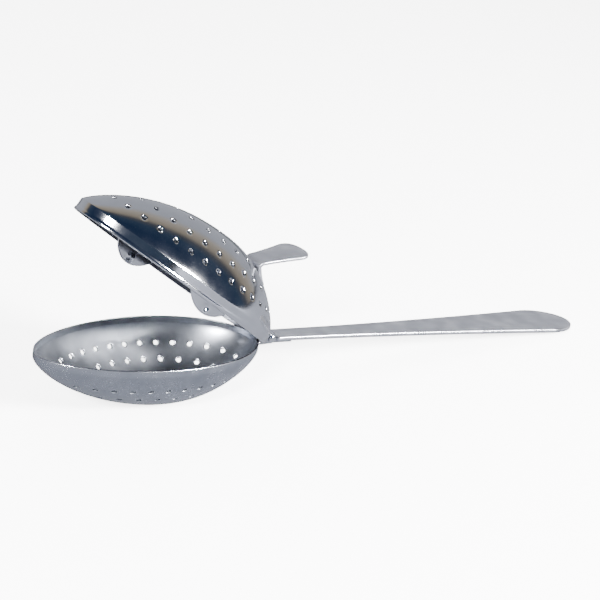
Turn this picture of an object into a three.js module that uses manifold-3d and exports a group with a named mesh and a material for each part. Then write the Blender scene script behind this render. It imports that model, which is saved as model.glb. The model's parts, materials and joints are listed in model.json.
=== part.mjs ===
// Tea infuser spoon: a perforated egg-shaped bowl on a flat handle, with a perforated domed lid
// hinged at the neck, a thumb tab that lifts the lid and two clips that hold it shut.
//
// Millimetres, +Z up. The spoon is drawn in its rim frame: the bowl's rim lies in z = 0, x = 0 is
// the rim's neck end, the handle runs along +X and the tip of the bowl is at -X. The lid is drawn
// shut in the same frame and then swung open about its pin. Last, the whole spoon is tipped onto
// the flat under its bowl and the end of its handle, as it lies on a table at z = 0.

import * as THREE from "three";
import { mergeVertices } from "three/addons/utils/BufferGeometryUtils.js";
import Module from "manifold-3d";

const wasm = await Module();
wasm.setup();

// ---- driving dimensions -------------------------------------------------------------------------

const sheet = 0.5; // wall of the two pressed shells
const bowlLength = 54;
const bowlWidth = 29;
const bowlDepth = 13.2; // from the rim to the flat under the bowl
const bowlSkirt = 1.3; // upright wall below the rim
const bowlApex = 0.415; // deepest point, as a share of the length from the neck
const bowlDome = [1.92, 1.36]; // exponents of the bowl's section
const footSink = 0.3; // how far the flat under the bowl is pressed in

const eggTaper = 0.1; // the outline is this much fuller towards the neck
const tipPower = 2.1; // superellipse exponents of the outline
const neckPower = 2.0;
const sidePower = 1.85;

const lidOverlap = 3.1; // the shut lid's edge hangs this far below the bowl's rim
const lidHeight = 14.15; // from the lid's edge to its crown
const lidSkirt = 2.4;
const lidApex = 0.4;
const lidDome = [2.14, 1.16];
const lidTipGap = 2.4; // play between the bowl's tip and the lid, which makes the lid's lip
const lidNeckGap = 0.7; // play between the bowl's neck end and the lid, for its swing
const lidOpening = 33; // degrees that the lid stands open

const holeDiameter = 1.3;
const holeSides = 6;
const holeDrill = 4; // length of the drill that cuts each hole
const holeRings = [
  { share: 0.86, pitch: 4.0 },
  { share: 0.69, pitch: 4.2 },
  { share: 0.45, pitch: 4.3 },
  { share: 0.21, pitch: 4.5 },
];

const bowlHoles = { closer: 0.97, phase: 0.5 }; // closer than the lid's, a gap on the axis at the tip
const lidHoles = { closer: 1, phase: 0 }; // one hole of each ring on the axis at the tip

const pinX = 4.1; // hinge pin behind the bowl's neck end
const pinDrop = 0.95; // hinge pin below the bowl's rim
const pinDiameter = 1.1;
const pinHeadDiameter = 1.9;
const pinHeadHeight = 0.6;
const pinHeadChamfer = 0.25;
const runningGap = 0.09; // radial play of the pin
const sideGap = 0.3; // play along the pin
const seamGap = 0.3; // between pieces that are welded face to face

const bracketWidth = 2.6;
const bracketThickness = 0.8;
const bracketLap = 5; // length under the handle
const bracketFoot = 3; // length down the bowl's back
const barrelDiameter = 2.1;
const barrelSink = 0.15; // the barrel sits this far into the strip
const bracketTop = 0.985; // the bend's end, as a share of the bowl's back from its crown
const bracketBend = 1.1; // length of the bend at the bowl's rim
const bracketRound = 0.35; // how far the bend's corner is eased

const handleLength = 97; // from its square end at the hinge to its round end
const handleNeckWidth = 4.9;
const handleEndWidth = 13.6;
const handleRound = 10.2; // length of the rounded end
const handleThickness = 1;
const handleFall = 2.75; // degrees below the rim plane
const handleDrop = 1.2; // middle of the handle below the rim, at the hinge end
const handleTaper = 1.6; // exponent of the widening
const handleGap = 0.5; // between the lugs and the handle's square end

const lugThickness = 0.5;
const lugRadius = 1.3;
const lugSlope = 0.4; // the tail's lower edge meets the lug's round this far round it, in radians
const tailLap = 5; // length of the tail inside the lid, before it is trimmed to the wall
const tailRise = 1.2; // the tail's slope up to the lid's back
const tailFoot = 0.15; // the tail's lower corner above the lid's edge
const webGap = 0.1; // between the lugs' round and the web's cut edge

const clipRadius = 7.1;
const clipThickness = 0.4;
const clipOffset = 0.6; // centre of the clip, past the middle of the lid towards its tip
const clipTrim = 0.1; // the clip's flat top, below the top of the lid's skirt
const clipRise = 1.4; // centre of the clip's arc above the bowl's rim, lid shut
const clipSeat = 0.2; // between the clip and the lid's wall
const clipGrip = 0.25; // between the clip and the bowl's wall
const dimpleRadius = 1.3;
const dimpleDepth = 0.2;
const dimpleRise = 1.5; // dimple's centre above the clip's lower edge

const tabThickness = 0.7;
const tabBladeLength = 12.2;
const tabBladeAngle = 40.7; // degrees above the handle, lid shut
const tabNeckWidth = 6.2;
const tabEndWidth = 8.9;
const tabFootWidth = 5.2;
const tabFootStart = 0.46; // shares of the lid's back, from its crown to its edge
const tabFootEnd = 0.64;
const tabBendRadius = 0.9; // at the middle of the sheet
const tabRound = 3.2; // length of the blade's blunt end
const tabBlunt = 2.6; // exponent of the blunt end
const tabTaper = 1.4; // exponent of the blade's widening
const tabHoleGap = 3; // no holes from this far before the foot's upper end

const shellRows = 9; // facets of a shell, from crown to edge and round it
const shellSides = 44;
const tipWidth = 0.12; // least share of a strip's width at its rounded end

const steel = { color: 0xc4c6ce, metalness: 1, roughness: 0.22 };
const satinSteel = { color: 0xb9bcc8, metalness: 1, roughness: 0.38 };

// ---- pressed shells -----------------------------------------------------------------------------

const clipRoom = clipSeat + clipThickness + clipGrip;
const bowl = {
  tip: -bowlLength,
  neck: 0,
  width: bowlWidth,
  edge: 0,
  up: -1,
  height: bowlDepth + footSink,
  skirt: bowlSkirt,
  apex: -bowlLength * bowlApex,
  dome: bowlDome,
  holes: bowlHoles,
};
const lid = {
  tip: bowl.tip - lidTipGap - sheet,
  neck: bowl.neck + lidNeckGap + sheet,
  width: bowlWidth + 2 * (clipRoom + sheet),
  edge: -lidOverlap,
  up: 1,
  height: lidHeight,
  skirt: lidSkirt,
  apex: 0,
  dome: lidDome,
  holes: lidHoles,
};
lid.apex = lid.neck - (lid.neck - lid.tip) * lidApex;

// The same shell one sheet further in.
function inside(shell) {
  return {
    ...shell,
    tip: shell.tip + sheet,
    neck: shell.neck - sheet,
    width: shell.width - 2 * sheet,
    height: shell.height - sheet,
  };
}

// Signed power, which turns a circle's cosine and sine into a superellipse's.
function power(value, exponent) {
  return Math.sign(value) * Math.abs(value) ** exponent;
}

// A point of the shell's outline at angle t, 0 at the neck and pi at the tip.
function outline(shell, t) {
  const run = power(Math.cos(t), 2 / (Math.cos(t) > 0 ? neckPower : tipPower));
  const rise = power(Math.sin(t), 2 / sidePower);
  const middle = (shell.neck + shell.tip) / 2;
  return {
    x: middle + ((shell.neck - shell.tip) / 2) * run,
    y: (shell.width / 2) * rise * (1 + eggTaper * run),
  };
}

// A point of the dome: share 0 is the crown and share 1 the top of the upright skirt.
function domePoint(shell, share, t) {
  const rim = outline(shell, t);
  const [inner, outer] = shell.dome;
  const bulge = Math.max(0, 1 - share ** inner) ** (1 / outer);
  const height = shell.skirt + (shell.height - shell.skirt) * bulge;
  return new THREE.Vector3(
    shell.apex * (1 - share) + share * rim.x,
    share * rim.y,
    shell.edge + shell.up * height,
  );
}

// Outward normal of the dome by small steps along it.
function domeNormal(shell, share, t) {
  const step = 1e-3;
  const here = domePoint(shell, share, t);
  const along = domePoint(shell, share, t + step).sub(here);
  const down = domePoint(shell, share + step, t).sub(here);
  const normal = down.cross(along).normalize();
  return normal.z * shell.up < 0 ? normal.negate() : normal;
}

// A closed body from rings of points, each ring a list of the same length, with a single point at
// each end. The first ring's body grows towards the last.
function ringedBody(first, rings, last) {
  const around = rings[0].length;
  const points = [first, ...rings.flat(), last];
  const end = points.length - 1;
  const at = (ring, index) => 1 + ring * around + (index % around);
  const faces = [];
  for (let i = 0; i < around; i += 1) {
    faces.push(0, at(0, i), at(0, i + 1));
    for (let ring = 0; ring < rings.length - 1; ring += 1) {
      faces.push(at(ring, i), at(ring + 1, i), at(ring + 1, i + 1));
      faces.push(at(ring, i), at(ring + 1, i + 1), at(ring, i + 1));
    }
    faces.push(at(rings.length - 1, i), end, at(rings.length - 1, i + 1));
  }
  const geometry = new THREE.BufferGeometry();
  geometry.setAttribute("position", new THREE.Float32BufferAttribute(points.flatMap((p) => [...p]), 3));
  geometry.setIndex(faces);
  return geometry;
}

// One face of a shell from its crown to its edge: the crown's point and the rings below it.
// floorAt(x), where given, is the height that the face is pressed up to.
function shellFace(shell, floorAt) {
  const press = (point) => {
    if (floorAt) {
      point.z = Math.max(point.z, floorAt(point.x));
    }
    return point;
  };
  const rings = [];
  for (let row = 1; row <= shellRows; row += 1) {
    const share = Math.sin((row / shellRows) * (Math.PI / 2));
    const ring = [];
    for (let i = 0; i < shellSides; i += 1) {
      ring.push(press(domePoint(shell, share, (2 * Math.PI * i) / shellSides)));
    }
    rings.push(ring);
  }
  rings.push(rings[shellRows - 1].map((point) => new THREE.Vector3(point.x, point.y, shell.edge)));
  return { crown: press(domePoint(shell, 0, 0)), rings };
}

// A pressed shell of one sheet, with its edge as a flat ring.
function shellBody(shell, floorAt) {
  const lifted = floorAt && ((x) => floorAt(x) + sheet);
  const outer = shellFace(shell, floorAt);
  const inner = shellFace(inside(shell), lifted);
  const rings = [...outer.rings, ...inner.rings.reverse()];
  const turned = shell.up < 0 ? rings.map((ring) => ring.slice().reverse()) : rings;
  return solidOf(ringedBody(outer.crown, turned, inner.crown));
}

// The space inside a shell, from its crown down past its edge.
function shellCavity(shell) {
  const face = shellFace(inside(shell));
  const past = shell.edge - shell.up * shell.skirt;
  const rim = face.rings[face.rings.length - 1].map((p) => new THREE.Vector3(p.x, p.y, past));
  const close = new THREE.Vector3(shell.apex, 0, past);
  const rings = [...face.rings, rim];
  const turned = shell.up < 0 ? rings.map((ring) => ring.slice().reverse()) : rings;
  return solidOf(ringedBody(face.crown, turned, close));
}

// Places of the holes: rings at a share of the dome, equal steps along each from the tip, and one
// hole at the crown.
function holePlaces(shell) {
  const places = [{ share: 0.001, t: 0 }];
  const steps = 360;
  for (const ring of holeRings) {
    const lengths = [0];
    for (let i = 1; i <= steps; i += 1) {
      const a = domePoint(shell, ring.share, Math.PI + (2 * Math.PI * (i - 1)) / steps);
      const b = domePoint(shell, ring.share, Math.PI + (2 * Math.PI * i) / steps);
      lengths.push(lengths[i - 1] + a.distanceTo(b));
    }
    const count = Math.round(lengths[steps] / (ring.pitch * shell.holes.closer));
    for (let hole = 0; hole < count; hole += 1) {
      const target = (lengths[steps] * (hole + shell.holes.phase)) / count;
      const i = lengths.findIndex((length) => length >= target);
      places.push({ share: ring.share, t: Math.PI + (2 * Math.PI * i) / steps });
    }
  }
  return places;
}

// The shell with its holes, each drilled square to the wall, apart from those that skip(x, y) names.
function perforate(body, shell, skip) {
  const drills = [];
  for (const { share, t } of holePlaces(shell)) {
    const place = domePoint(shell, share, t);
    if (!skip(place.x, place.y)) {
      const drill = new THREE.CylinderGeometry(holeDiameter / 2, holeDiameter / 2, holeDrill, holeSides);
      const turn = new THREE.Quaternion();
      turn.setFromUnitVectors(new THREE.Vector3(0, 1, 0), domeNormal(shell, share, t));
      drill.applyQuaternion(turn).translate(place.x, place.y, place.z);
      drills.push(solidOf(drill));
    }
  }
  return drills.reduce((left, drill) => left.subtract(drill), body);
}

// ---- solids, strips and meshes ------------------------------------------------------------------

function solidOf(geometry) {
  const bare = geometry.clone();
  bare.deleteAttribute("normal");
  bare.deleteAttribute("uv");
  const merged = mergeVertices(bare, 1e-4);
  return new wasm.Manifold(new wasm.Mesh({
    numProp: 3,
    vertProperties: merged.attributes.position.array,
    triVerts: new Uint32Array(merged.index.array),
  }));
}

function geometryOf(solid) {
  const { vertProperties, triVerts } = solid.getMesh();
  const geometry = new THREE.BufferGeometry();
  geometry.setAttribute("position", new THREE.Float32BufferAttribute(vertProperties, 3));
  geometry.setIndex([...triVerts]);
  return geometry;
}

// A strip of sheet along a path in the XZ plane. halfWidth(s) gives half its width at a distance s
// along the path.
function stripAlong(path, thickness, halfWidth) {
  const sections = [];
  let travelled = 0;
  path.forEach((point, i) => {
    const before = path[Math.max(0, i - 1)];
    const after = path[Math.min(path.length - 1, i + 1)];
    travelled += point.distanceTo(before);
    const inward = point.clone().sub(before).normalize();
    const onward = after.clone().sub(point).normalize();
    const along = inward.clone().add(onward).normalize();
    const stretch = i > 0 && i < path.length - 1 ? 1 / along.dot(onward) : 1;
    const half = (thickness / 2) * stretch;
    const width = halfWidth(travelled);
    const [nx, nz] = [-along.y * half, along.x * half];
    sections.push([
      [point.x + nx, -width, point.y + nz],
      [point.x + nx, width, point.y + nz],
      [point.x - nx, width, point.y - nz],
      [point.x - nx, -width, point.y - nz],
    ]);
  });
  const faces = [0, 1, 2, 0, 2, 3];
  const last = (sections.length - 1) * 4;
  for (let base = 0; base < last; base += 4) {
    for (let side = 0; side < 4; side += 1) {
      const next = (side + 1) % 4;
      faces.push(base + side, base + 4 + side, base + 4 + next);
      faces.push(base + side, base + 4 + next, base + next);
    }
  }
  faces.push(last, last + 2, last + 1, last, last + 3, last + 2);
  const geometry = new THREE.BufferGeometry();
  geometry.setAttribute("position", new THREE.Float32BufferAttribute(sections.flat(2), 3));
  geometry.setIndex(faces);
  return geometry;
}

// An outline in the XZ plane, given the right width across Y and centred on y = 0.
function plateAcross(shape, width) {
  const geometry = new THREE.ExtrudeGeometry(shape, { depth: width, bevelEnabled: false, curveSegments: 8 });
  return geometry.translate(0, 0, -width / 2).rotateX(Math.PI / 2);
}

function rod(diameter, length, sides = 20) {
  return new THREE.CylinderGeometry(diameter / 2, diameter / 2, length, sides);
}

function named(name, geometry, finish, parent) {
  const mesh = new THREE.Mesh(geometry, new THREE.MeshStandardMaterial(finish));
  mesh.name = name;
  parent.add(mesh);
  return mesh;
}

// ---- the pieces ---------------------------------------------------------------------------------

const fall = THREE.MathUtils.degToRad(handleFall);
const pinZ = -pinDrop;
const handleStart = new THREE.Vector2(pinX + lugRadius + handleGap, -handleDrop);
const handleEnd = handleStart.clone().add(
  new THREE.Vector2(Math.cos(fall), -Math.sin(fall)).multiplyScalar(handleLength),
);

// The table touches the handle's end and the flat under the bowl.
const flatX = -bowlLength / 2;
const restRise = handleEnd.y - handleThickness / 2 + bowlDepth;
const restTilt = Math.atan2(restRise, handleEnd.x - flatX);
function tableAt(x) {
  return -bowlDepth + (x - flatX) * Math.tan(restTilt);
}

function makeBowl() {
  return geometryOf(perforate(shellBody(bowl, tableAt), bowl, () => false));
}

// Points along the back of a shell in the XZ plane, a distance outside its face.
function backOf(shell, from, to, offset, count) {
  const points = [];
  for (let i = 0; i <= count; i += 1) {
    const share = from + ((to - from) * i) / count;
    const place = domePoint(shell, share, 0);
    const normal = domeNormal(shell, Math.min(share, 0.999), 0);
    points.push(new THREE.Vector2(place.x + normal.x * offset, place.z + normal.z * offset));
  }
  return points;
}

// A strip welded under the handle that passes under the hinge barrel and down the bowl's back.
function makeBracket() {
  const clear = seamGap + bracketThickness / 2;
  const lapDrop = handleThickness / 2 + clear;
  const underBarrel = pinZ - barrelDiameter / 2 - bracketThickness / 2 + barrelSink;
  const lapEnd = new THREE.Vector2(handleStart.x + bracketLap, handleStart.y - lapDrop);
  lapEnd.y -= bracketLap * Math.tan(fall);
  const lapStart = new THREE.Vector2(handleStart.x, handleStart.y - lapDrop);
  const foot = backOf(bowl, bracketTop, bracketTop - bracketFoot / bowlDepth / 2, clear, 4);
  const path = [
    lapEnd,
    lapStart,
    new THREE.Vector2(pinX, underBarrel),
    new THREE.Vector2(foot[0].x + bracketBend, underBarrel),
    new THREE.Vector2(foot[0].x + bracketRound, underBarrel - bracketRound),
    ...foot,
  ];
  const strip = solidOf(stripAlong(path, bracketThickness, () => bracketWidth / 2));
  const barrel = solidOf(rod(barrelDiameter, bracketWidth).translate(pinX, 0, pinZ));
  const bore = solidOf(rod(pinDiameter + 2 * runningGap, bracketWidth + 1).translate(pinX, 0, pinZ));
  return geometryOf(strip.add(barrel).subtract(bore));
}

// Half the width of a strip that widens and then ends in a blunt round.
function paddle(neck, end, length, round, taper, blunt) {
  return (s) => {
    const straight = length - round;
    if (s < straight) {
      return (neck + (end - neck) * (s / straight) ** taper) / 2;
    }
    const turn = Math.min(1, (s - straight) / round);
    return (end / 2) * Math.max(tipWidth, (1 - turn ** blunt) ** (1 / blunt));
  };
}

// Distances along a strip: even steps up to its rounded end, then steps that close up round it.
function paddleSteps(length, round, evenSteps, roundSteps) {
  const steps = [];
  for (let i = 0; i < evenSteps; i += 1) {
    steps.push(((length - round) * i) / evenSteps);
  }
  for (let i = 0; i <= roundSteps; i += 1) {
    steps.push(length - round + round * Math.sin((i / roundSteps) * (Math.PI / 2)));
  }
  return steps;
}

function makeHandle() {
  const path = paddleSteps(handleLength, handleRound, 8, 8).map((s) => (
    new THREE.Vector2(handleStart.x + s * Math.cos(fall), handleStart.y - s * Math.sin(fall))
  ));
  const width = paddle(handleNeckWidth, handleEndWidth, handleLength, handleRound, handleTaper, 2);
  return stripAlong(path, handleThickness, width);
}

// Faces of the two lugs, measured across the hinge.
const lugInside = bracketWidth / 2 + sideGap;
const lugOutside = lugInside + lugThickness;

function makePin() {
  const inner = lugOutside + sideGap / 2;
  const outer = inner + pinHeadHeight;
  const profile = [
    [0, -outer],
    [pinHeadDiameter / 2 - pinHeadChamfer, -outer],
    [pinHeadDiameter / 2, -outer + pinHeadChamfer],
    [pinHeadDiameter / 2, -inner],
    [pinDiameter / 2, -inner],
    [pinDiameter / 2, inner],
    [pinHeadDiameter / 2, inner],
    [pinHeadDiameter / 2, outer - pinHeadChamfer],
    [pinHeadDiameter / 2 - pinHeadChamfer, outer],
    [0, outer],
  ].map(([radius, y]) => new THREE.Vector2(radius, y));
  return new THREE.LatheGeometry(profile, 20);
}

// The lid's shell with a tail: two lugs and the web between them, open below over the bracket.
function makeLid() {
  const root = lid.neck - tailLap;
  const slope = -Math.PI / 2 - lugSlope;
  const web = pinZ + lugRadius;
  const tail = new THREE.Shape();
  tail.moveTo(root, lid.edge);
  tail.lineTo(pinX - 2 * lugRadius, lid.edge + tailFoot);
  tail.absarc(pinX, pinZ, lugRadius, slope, Math.PI / 2, false);
  tail.lineTo(root, web + tailRise);
  tail.closePath();
  const channel = new THREE.Shape();
  channel.moveTo(root, lid.edge - lugRadius);
  channel.lineTo(pinX + 2 * lugRadius, lid.edge - lugRadius);
  channel.lineTo(pinX + 2 * lugRadius, web + lugRadius);
  channel.lineTo(pinX - lugRadius - webGap, web + lugRadius);
  channel.lineTo(pinX - lugRadius - webGap, web - sheet);
  channel.lineTo(root, web - sheet);
  channel.closePath();
  const block = solidOf(plateAcross(tail, 2 * lugOutside)).subtract(shellCavity(lid));
  const bore = solidOf(rod(pinDiameter + 2 * runningGap, 4 * lugOutside).translate(pinX, 0, pinZ));
  const body = shellBody(lid).add(block);
  const opened = body.subtract(solidOf(plateAcross(channel, 2 * lugInside))).subtract(bore);
  const footTop = domePoint(lid, tabFootStart, 0).x - tabHoleGap;
  const footFoot = domePoint(lid, tabFootEnd, 0).x + holeDiameter;
  const besideFoot = tabFootWidth / 2 + holeDiameter;
  const underTab = (x, y) => x > footTop && x < footFoot && Math.abs(y) < besideFoot;
  return geometryOf(perforate(opened, lid, underTab));
}

// A half-round clip that follows the inside of the lid's skirt and hangs below its edge, with a
// snap dimple pressed towards the bowl. side is 1 for +Y and -1 for -Y.
function makeClip(side) {
  const wall = inside(lid);
  const middle = (wall.neck + wall.tip) / 2;
  const centreX = middle - clipOffset;
  const centreZ = clipRise;
  const dimpleZ = centreZ - clipRadius + dimpleRise;
  const reach = (x) => {
    const run = (x - middle) / ((wall.neck - wall.tip) / 2);
    const t = Math.acos(power(run, (run > 0 ? neckPower : tipPower) / 2));
    return outline(wall, t).y - clipSeat;
  };
  const place = (radius, angle, depth) => {
    const x = centreX + radius * Math.cos(angle);
    const z = centreZ + radius * Math.sin(angle);
    const away = Math.hypot(x - centreX, z - dimpleZ) / dimpleRadius;
    const press = away < 1 ? dimpleDepth * Math.cos((away * Math.PI) / 2) ** 2 : 0;
    return new THREE.Vector3(x, side * (reach(x) - depth - press), z);
  };
  const around = 28;
  const radii = [0.25, 0.5, 0.68, 0.76, 0.84, 0.92, 1].map((share) => share * clipRadius);
  const ring = (radius, depth) => {
    const points = [];
    for (let i = 0; i < around; i += 1) {
      points.push(place(radius, (2 * Math.PI * i) / around, depth));
    }
    return side < 0 ? points : points.reverse();
  };
  const rings = [
    ...radii.map((radius) => ring(radius, 0)),
    ...radii.slice().reverse().map((radius) => ring(radius, clipThickness)),
  ];
  const disc = solidOf(ringedBody(place(0, 0, 0), rings, place(0, 0, clipThickness)));
  const top = lid.edge + lidSkirt - clipTrim;
  const trim = new THREE.BoxGeometry(4 * clipRadius, 4 * lid.width, 4 * clipRadius);
  trim.translate(centreX, 0, top + 2 * clipRadius);
  return geometryOf(disc.subtract(solidOf(trim)));
}

// The thumb tab: a foot down the lid's back, a fold at its upper end and a blade over the handle.
function makeTab() {
  const offset = seamGap + tabThickness / 2;
  const foot = backOf(lid, tabFootEnd, tabFootStart, offset, 8);
  const top = foot[foot.length - 1];
  const before = foot[foot.length - 2];
  const arrive = Math.atan2(top.y - before.y, top.x - before.x);
  const leave = THREE.MathUtils.degToRad(tabBladeAngle);
  const turn = arrive - leave;
  const centre = new THREE.Vector2(
    top.x + tabBendRadius * Math.sin(arrive),
    top.y - tabBendRadius * Math.cos(arrive),
  );
  const bend = [];
  const bendSteps = 6;
  for (let i = 1; i <= bendSteps; i += 1) {
    const angle = arrive + Math.PI / 2 - (turn * i) / bendSteps;
    bend.push(new THREE.Vector2(
      centre.x + tabBendRadius * Math.cos(angle),
      centre.y + tabBendRadius * Math.sin(angle),
    ));
  }
  const start = bend[bend.length - 1];
  const blade = paddleSteps(tabBladeLength, tabRound, 4, 6).slice(1).map((s) => (
    new THREE.Vector2(start.x + s * Math.cos(leave), start.y + s * Math.sin(leave))
  ));
  const path = [...foot, ...bend, ...blade];
  let footLength = 0;
  [...foot, ...bend].forEach((point, i, all) => {
    footLength += i ? point.distanceTo(all[i - 1]) : 0;
  });
  const bladeWidth = paddle(tabNeckWidth, tabEndWidth, tabBladeLength, tabRound, tabTaper, tabBlunt);
  const width = (s) => {
    if (s >= footLength) {
      return bladeWidth(s - footLength);
    }
    return (tabFootWidth + (tabNeckWidth - tabFootWidth) * (s / footLength) ** 4) / 2;
  };
  return stripAlong(path, tabThickness, width);
}

// ---- assembly -----------------------------------------------------------------------------------

const group = new THREE.Group();
const spoon = new THREE.Group();
group.add(spoon);

named("bowl", makeBowl(), satinSteel, spoon);
named("hinge_bracket", makeBracket(), steel, spoon);
named("handle", makeHandle(), satinSteel, spoon);
named("hinge_pin", makePin(), steel, spoon).position.set(pinX, 0, pinZ);

const swing = new THREE.Group();
swing.position.set(pinX, 0, pinZ);
swing.rotation.y = THREE.MathUtils.degToRad(lidOpening);
spoon.add(swing);
const cover = new THREE.Group();
cover.position.set(-pinX, 0, -pinZ);
swing.add(cover);

named("lid", makeLid(), steel, cover);
named("thumb_tab", makeTab(), satinSteel, cover);
named("clip_left", makeClip(1), steel, cover);
named("clip_right", makeClip(-1), steel, cover);

// Tip the spoon onto the table and put the origin under the middle of its box.
spoon.rotation.y = restTilt;
group.updateMatrixWorld(true);
const box = new THREE.Box3().setFromObject(group, true);
const middle = box.getCenter(new THREE.Vector3());
spoon.position.set(-middle.x, -middle.y, -box.min.z);
group.updateMatrixWorld(true);

export default group;
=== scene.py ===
# Tea infuser spoon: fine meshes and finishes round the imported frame.
# Shapes are worked out in millimetres in the rim frame. There the bowl's rim is z = 0, x = 0 is its
# neck end and the handle runs along +X. toWorld() swings the lid's pieces open about the hinge pin,
# tips the spoon as it lies on the table and puts the pin on the frame's hinge.

import json
import math

import bpy
import numpy as np
from mathutils import Matrix, Vector


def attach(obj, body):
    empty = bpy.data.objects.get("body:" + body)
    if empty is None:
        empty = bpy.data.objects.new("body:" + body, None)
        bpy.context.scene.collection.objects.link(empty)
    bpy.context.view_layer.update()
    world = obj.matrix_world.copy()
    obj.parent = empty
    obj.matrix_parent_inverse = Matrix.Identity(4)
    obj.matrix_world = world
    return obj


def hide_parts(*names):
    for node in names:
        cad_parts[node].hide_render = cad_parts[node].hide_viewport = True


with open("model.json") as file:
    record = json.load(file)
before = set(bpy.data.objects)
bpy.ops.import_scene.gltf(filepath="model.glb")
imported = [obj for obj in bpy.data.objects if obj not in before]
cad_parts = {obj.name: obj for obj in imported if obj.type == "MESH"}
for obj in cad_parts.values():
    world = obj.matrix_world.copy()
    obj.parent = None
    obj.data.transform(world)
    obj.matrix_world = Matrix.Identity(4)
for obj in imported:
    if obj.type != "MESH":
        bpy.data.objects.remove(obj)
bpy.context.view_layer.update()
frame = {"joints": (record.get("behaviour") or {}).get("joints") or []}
hinge = next(joint for joint in frame["joints"] if joint["name"] == "lid_hinge")
pinPlace = np.array(hinge["pos_m"])
print("frame loaded")

fit = {
    "pinX": 4.1, "pinZ": -0.95, "lidOpening": 33.0, "sheet": 0.5,
    "sideGap": 0.3, "bracketWidth": 2.6, "barrelRadius": 1.05, "boreRadius": 0.64,
    "lugRadius": 1.3, "lugThickness": 0.5,
}

handle = {
    "start": (5.9, -1.2), "length": 97.0, "fall": 2.75, "neckWidth": 4.9, "endWidth": 13.6,
    "round": 10.2, "taper": 1.6, "blunt": 2, "thickness": 1.0, "corner": 0.28, "squareCorner": 0.5,
    "pathPoints": 60, "step": 1.2,
}

# A shell's last entry is the share of painted shade that darkens its whole inner face.
bowl = {
    "piece": "bowlShell", "node": "bowl", "tip": -54.0, "neck": 0.0, "width": 29.0, "edge": 0.0,
    "up": -1, "height": 13.5, "skirt": 1.3, "apex": -22.41, "dome": (1.92, 1.36), "depth": 13.2,
    "holeCloser": 0.97, "holePhase": 0.5, "paintedShade": 0.2,
}

lid = {
    "piece": "lidShell", "node": "lid", "tip": -56.9, "neck": 1.2, "width": 31.7, "edge": -3.1,
    "up": 1, "height": 14.15, "skirt": 2.4, "apex": -22.04, "dome": (2.14, 1.16),
    "holeCloser": 1.0, "holePhase": 0.0, "paintedShade": 0.88,
}

# The shells' outline: superellipse powers at the tip and the sides, and how much fuller the neck is.
egg = {"tipPower": 2.1, "sidePower": 1.85, "taper": 0.1}

shellGrid = {"rows": 82, "skirtRows": 14, "around": 400, "crownAngle": 0.004, "rimRound": 0.1}

# Wear fades over rimFade from the rim, border points past rimZone from it are holes', and the inside
# keeps a part of it.
shellWear = {"rimFade": 0.25, "rimZone": 0.5, "inside": 0.3}

# Each ring is a share of the way from crown to skirt and the holes' pitch along it.
holes = {
    "radius": 0.65, "rings": ((0.86, 4.0), (0.69, 4.2), (0.45, 4.3), (0.21, 4.5)), "crown": 0.001,
    "ringPoints": 721, "ease": 0.7, "spread": 0.12, "dish": 0.04, "dishWidth": 0.16, "wearWidth": 0.1,
}

tiny = 1e-9


# The spoon lies on the flat under its bowl and on its handle's end.
fall = math.radians(handle["fall"])
handleEndX = handle["start"][0] + handle["length"] * math.cos(fall)
handleEndZ = handle["start"][1] - handle["length"] * math.sin(fall)
flatX = bowl["tip"] / 2
restTilt = math.atan2(handleEndZ - handle["thickness"] / 2 + bowl["depth"], handleEndX - flatX)


# Turn about the pin by the rest tilt, plus the lid's opening for a piece of the lid.
def turnedBy(vectors, angle):
    x, y, z = np.moveaxis(np.asarray(vectors, float), -1, 0)
    c, s = math.cos(angle), math.sin(angle)
    return np.stack([x * c + z * s, y, z * c - x * s], axis=-1)


def toWorld(points, onLid=False):
    angle = restTilt + (math.radians(fit["lidOpening"]) if onLid else 0)
    fromPin = np.asarray(points, float) - np.array([fit["pinX"], 0, fit["pinZ"]])
    return pinPlace + turnedBy(fromPin, angle) / 1000


view = {
    "azimuth": 40.32, "elevation": 19.19, "roll": 10.32, "distance": 360.0, "lens": 97.25,
    "aimAcross": 10.668, "aimUp": 7.203,
}


# The camera looks at a point beside the bowl's neck, from above the bowl's tip, rolled clockwise.
def makeCamera():
    a, e, r = (math.radians(view[key]) for key in ("azimuth", "elevation", "roll"))
    look = Vector((math.sin(a) * math.cos(e), math.cos(a) * math.cos(e), -math.sin(e)))
    flatRight = Vector((math.cos(a), -math.sin(a), 0))
    flatUp = flatRight.cross(look)
    right = flatRight * math.cos(r) + flatUp * math.sin(r)
    up = flatUp * math.cos(r) - flatRight * math.sin(r)
    place = right * view["aimAcross"] + up * view["aimUp"] - look * view["distance"]
    axes = [turnedBy(axis, restTilt) for axis in (right, up, -look)]
    data = bpy.data.cameras.new("camera")
    data.lens = view["lens"]
    data.sensor_width = 36
    data.clip_start = 0.01
    data.clip_end = 20
    camera = bpy.data.objects.new("camera", data)
    matrix = Matrix([list(row) for row in np.array(axes).T]).to_4x4()
    matrix.translation = Vector(toWorld(np.array(place)))
    camera.matrix_world = matrix
    bpy.context.scene.collection.objects.link(camera)
    bpy.context.scene.camera = camera
    return camera


makeCamera()
print("camera placed")


# A mesh in world metres. wear is 1 on edges that handling polishes. The second attribute is painted
# shade that darkens the steel: it is 1 on the walls of the punched holes, and each shell's own share all
# over its inner face.
def addPiece(name, points, faces, material, nodes, onLid=False, wear=None, paintedShade=None):
    mesh = bpy.data.meshes.new(name)
    mesh.from_pydata(toWorld(points, onLid).tolist(), [], faces)
    mesh.validate()
    mesh.update()
    mesh.shade_smooth()
    for label, values in (("wear", wear), ("paintedShade", paintedShade)):
        attribute = mesh.attributes.new(label, "FLOAT", "POINT")
        values = np.zeros(len(mesh.vertices)) if values is None else values
        attribute.data.foreach_set("value", np.asarray(values, np.float32))
    piece = bpy.data.objects.new(name, mesh)
    bpy.context.scene.collection.objects.link(piece)
    mesh.materials.append(material)
    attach(piece, "lid" if onLid else "spoon")
    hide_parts(*nodes)
    print(name, len(mesh.polygons), "faces")
    return piece


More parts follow.
